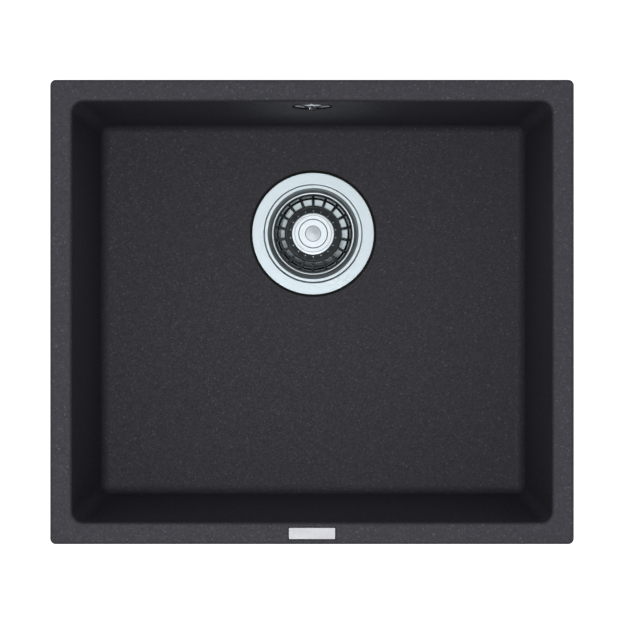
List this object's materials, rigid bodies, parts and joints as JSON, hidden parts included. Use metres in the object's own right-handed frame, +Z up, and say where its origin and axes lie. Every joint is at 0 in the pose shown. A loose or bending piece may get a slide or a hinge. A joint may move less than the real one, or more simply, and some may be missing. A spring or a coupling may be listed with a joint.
{
  "type": "granite kitchen sink",
  "caption": "Rectangular undermount kitchen sink bowl in dark granite composite, with a lift-out basket strainer waste, a wall overflow piped to it, and threaded lugs under the rim.",
  "frame": {"origin": "centre of the rim's top face", "axes": "+X to the right along the rim's long side, +Y towards the overflow wall, +Z up out of the bowl"},
  "size_m": [0.46, 0.4097, 0.2786],
  "materials": {
    "granite": "matt dark anthracite granite composite with fine lighter grains",
    "badge_steel": "fine brushed, bare",
    "brass_inserts": "turned brass",
    "flange_steel": "satin, turned in rings",
    "basket_steel": "polished pressed sheet",
    "knob_steel": "turned and polished",
    "fastener_steel": "plain steel",
    "overflow_chrome": "bright chrome",
    "black_rubber": "matt moulded rubber",
    "waste_plastic": "white moulded polypropylene",
    "pipe_plastic": "white moulded polypropylene"
  },
  "bodies": {
    "root": {"sink_bowl": "granite", "badge_plate": "badge_steel", "rim_inserts": "brass_inserts", "waste_insert": "brass_inserts", "overflow_insert": "brass_inserts", "strainer_cup": "flange_steel", "clamp_screw": "fastener_steel", "clamp_washer": "fastener_steel", "overflow_rosette": "overflow_chrome", "overflow_screw": "overflow_chrome", "strainer_seal": "black_rubber", "waste_gasket": "black_rubber", "overflow_gasket": "black_rubber", "overflow_upper_seal": "black_rubber", "overflow_lower_seal": "black_rubber", "waste_body": "waste_plastic", "overflow_housing": "waste_plastic", "overflow_pipe": "pipe_plastic"},
    "catch": {"catch_ring": "black_rubber"},
    "basket": {"basket_cup": "basket_steel", "basket_knob": "knob_steel", "basket_stem": "fastener_steel", "basket_seal": "black_rubber", "basket_washer": "fastener_steel", "basket_nut": "fastener_steel"}
  },
  "joints": [
    {"name": "basket_lift", "type": "slide", "parent": "root", "child": "catch", "axis": [0, 0, 1], "range_m": [0, 0.26]},
    {"name": "basket_turn", "type": "hinge", "parent": "catch", "child": "basket", "pos_m": [0, 0.071, -0.236], "axis": [0, 0, 1], "continuous": true}
  ]
}
